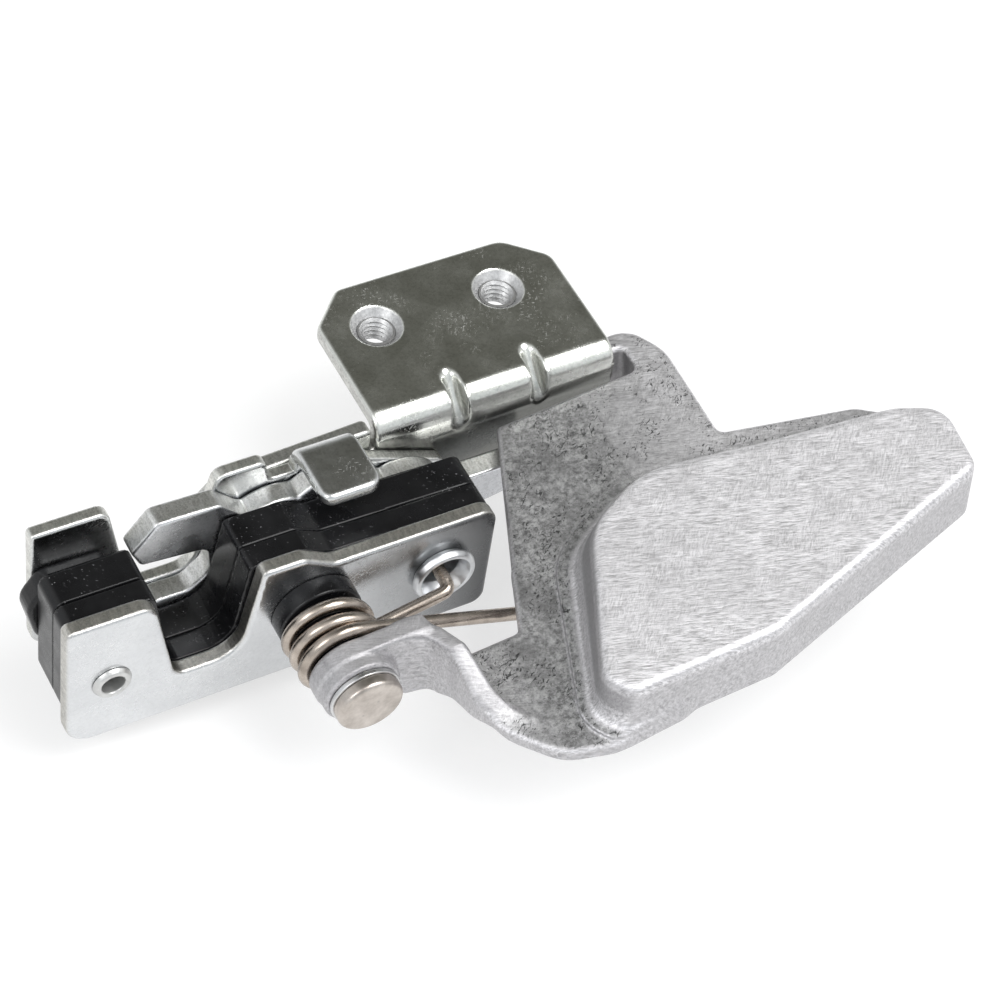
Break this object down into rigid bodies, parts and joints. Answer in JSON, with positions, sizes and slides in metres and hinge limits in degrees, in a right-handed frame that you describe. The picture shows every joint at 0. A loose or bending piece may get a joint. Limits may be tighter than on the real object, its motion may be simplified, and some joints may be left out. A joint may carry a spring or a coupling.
{
  "type": "rotary door latch",
  "caption": "Rotary fork door latch with a drilled mounting tab, a slotted moulded block between sheet plates and a hollow cast release paddle turned back by a torsion spring.",
  "frame": {"origin": "midway between the two mounting holes, on the upper face of the tab", "axes": "+X along the latch from the striker slot to the paddle, +Y from the front plate to the rear, +Z the way the mounting screws and the striker leave"},
  "size_m": [0.1426, 0.0917, 0.0361],
  "materials": {
    "zinc_front": "bright zinc plate, smooth, lightly scuffed",
    "zinc_back": "bright zinc plate with rough sheared edges",
    "zinc_bracket": "bright zinc plate, mirror-like with fine scratches",
    "black_moulding": "semi-gloss black moulding",
    "fork_steel": "zinc plated steel with sheared edges",
    "sleeve_steel": "turned steel",
    "spring_wire": "drawn spring wire",
    "rivet_steel": "zinc plated, rolled rim",
    "pin_steel": "satin turned head",
    "cast_alloy": "tumbled die casting, fine pitted skin",
    "bush_bronze": "plain bearing bush"
  },
  "bodies": {
    "base": {"front_plate": "zinc_front", "housing_front": "black_moulding", "housing_rear": "black_moulding", "back_plate": "zinc_back", "tab_bracket": "zinc_bracket", "left_spacer": "black_moulding", "fork_sleeve": "sleeve_steel", "fork_spring": "spring_wire", "pawl_sleeve": "sleeve_steel", "pawl_spring": "spring_wire", "left_rivet": "rivet_steel", "pawl_rivet": "rivet_steel", "main_pin": "pin_steel", "spool": "black_moulding", "handle_spring": "spring_wire", "thrust_washer": "sleeve_steel"},
    "fork": {"fork": "fork_steel"},
    "pawl": {"pawl": "fork_steel"},
    "handle": {"handle": "cast_alloy", "eye_bush": "bush_bronze"}
  },
  "joints": [
    {"name": "handle_swing", "type": "hinge", "parent": "base", "child": "handle", "pos_m": [-0.0402, -0.0392, -0.011], "axis": [0, 1, 0], "range_deg": [0, 14], "stiffness_Nm_per_rad": 0.3, "springref_deg": -20.05, "deforming": ["handle_spring"]},
    {"name": "fork_turn", "type": "hinge", "parent": "base", "child": "fork", "pos_m": [-0.0402, -0.0238, -0.011], "axis": [0, 1, 0], "range_deg": [0, 46.2], "deforming": ["fork_spring"]},
    {"name": "pawl_turn", "type": "hinge", "parent": "base", "child": "pawl", "pos_m": [-0.0179, -0.0238, -0.0133], "axis": [0, 1, 0], "range_deg": [0, 31], "deforming": ["pawl_spring"]}
  ],
  "couplings": [
    {"joint": "fork_turn", "follows": "handle_swing", "ratio": 3.2857},
    {"joint": "pawl_turn", "follows": "handle_swing", "ratio": 2.2}
  ]
}
